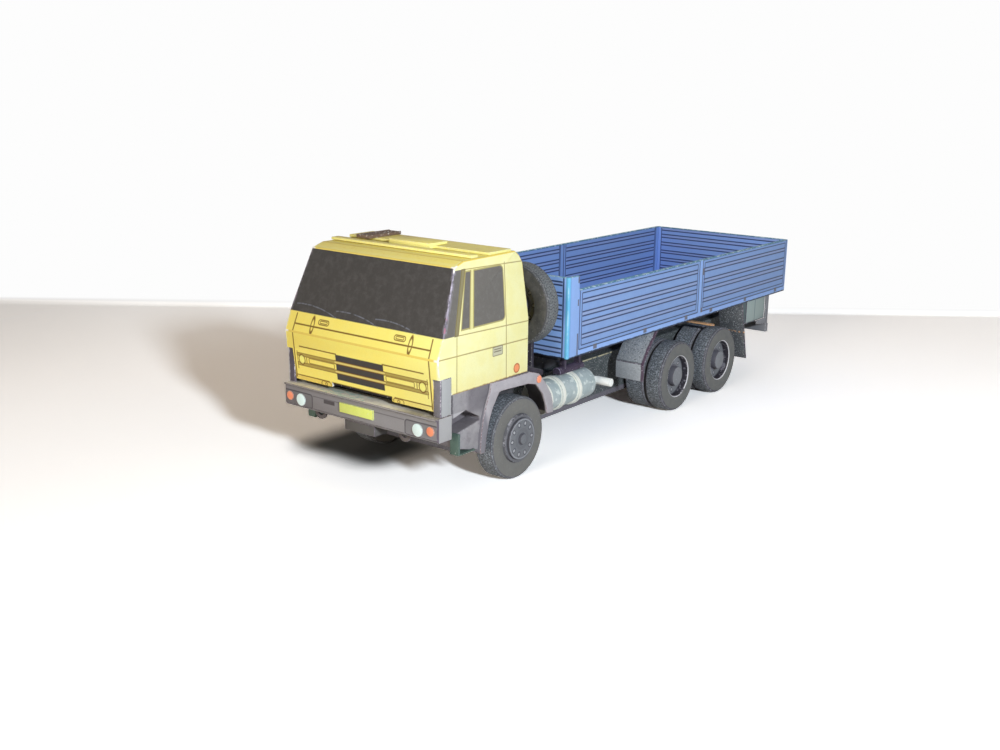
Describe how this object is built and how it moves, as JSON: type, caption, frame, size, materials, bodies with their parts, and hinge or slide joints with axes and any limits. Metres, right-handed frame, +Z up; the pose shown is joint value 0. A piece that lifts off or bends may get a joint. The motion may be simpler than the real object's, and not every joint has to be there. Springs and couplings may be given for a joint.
{
  "type": "three axle dropside truck card model",
  "caption": "Folded card scale model of a forward control dropside truck: yellow cab, blue open load bed, card wheels that turn on their axles.",
  "frame": {"origin": "on the ground, under the middle of the length and width", "axes": "+Z up, the truck faces -Y, its left side is at +X"},
  "size_m": [0.0258, 0.0888, 0.0288],
  "materials": {
    "yellow_card": "printed matt card, yellow with dark printed windows and grille",
    "blue_card": "printed matt card, blue with printed rib lines",
    "grey_card": "printed matt card, grey",
    "dark_card": "printed matt card, dark grey",
    "tyre_card": "printed matt card, brownish dark grey with printed tread",
    "rim_card": "printed matt card, wheel grey with printed nuts",
    "pale_card": "printed matt card, pale green grey",
    "pipe_card": "rolled bare card",
    "axle_card": "tightly rolled bare card",
    "stay_card": "printed card strip, orange brown",
    "lamp_card": "punched card disc, pale cyan",
    "orange_card": "punched card disc, orange",
    "red_card": "printed card, red",
    "plate_card": "printed card, yellow green, blank"
  },
  "bodies": {
    "truck": {"air_tank": "dark_card", "axle_sleeves": "dark_card", "bed_bearers": "dark_card", "bed_cross_bearers": "dark_card", "bed_floor": "blue_card", "bumper": "grey_card", "cab_floor": "grey_card", "cab_front_panel": "yellow_card", "cab_rear_wall": "yellow_card", "cab_roof": "yellow_card", "cab_side_left": "yellow_card", "cab_side_right": "yellow_card", "cab_support": "dark_card", "chassis_base": "dark_card", "chassis_box": "dark_card", "corner_covers": "grey_card", "coupling_box": "grey_card", "front_guard_left": "grey_card", "front_guard_right": "grey_card", "fuel_tank": "dark_card", "headboard": "blue_card", "headlamps": "lamp_card", "indicator_discs": "orange_card", "lamp_brackets": "grey_card", "mudflaps": "grey_card", "number_plate_blank": "plate_card", "rear_boxes": "pale_card", "rear_guard_plates": "grey_card", "rear_guard_stays": "stay_card", "rear_lamps": "red_card", "roof_ribs": "yellow_card", "roof_vent": "dark_card", "side_board_left": "blue_card", "side_board_right": "blue_card", "silencer": "pale_card", "spare_rim": "rim_card", "spare_tyre": "tyre_card", "spare_wheel_carrier": "dark_card", "step_housings": "grey_card", "stirrup_steps": "pale_card", "tailgate": "blue_card", "tailpipe": "pipe_card", "tank_brackets": "dark_card", "tow_eyes": "dark_card", "underrun_beam": "grey_card"},
    "front_wheelset": {"front_tyres": "tyre_card", "front_wheel_hubs": "rim_card", "front_axle_rod": "axle_card"},
    "rear_wheelset_1": {"rear_tyres_1": "tyre_card", "rear_rims_1": "rim_card", "rear_axle_rod_1": "axle_card"},
    "rear_wheelset_2": {"rear_tyres_2": "tyre_card", "rear_rims_2": "rim_card", "rear_axle_rod_2": "axle_card"}
  },
  "joints": [
    {"name": "front_wheels_spin", "type": "hinge", "parent": "truck", "child": "front_wheelset", "pos_m": [0, -0.02876, 0.00515], "axis": [1, 0, 0], "continuous": true},
    {"name": "rear_wheels_1_spin", "type": "hinge", "parent": "truck", "child": "rear_wheelset_1", "pos_m": [0, 0.01006, 0.00515], "axis": [1, 0, 0], "continuous": true},
    {"name": "rear_wheels_2_spin", "type": "hinge", "parent": "truck", "child": "rear_wheelset_2", "pos_m": [0, 0.02321, 0.00515], "axis": [1, 0, 0], "continuous": true}
  ]
}
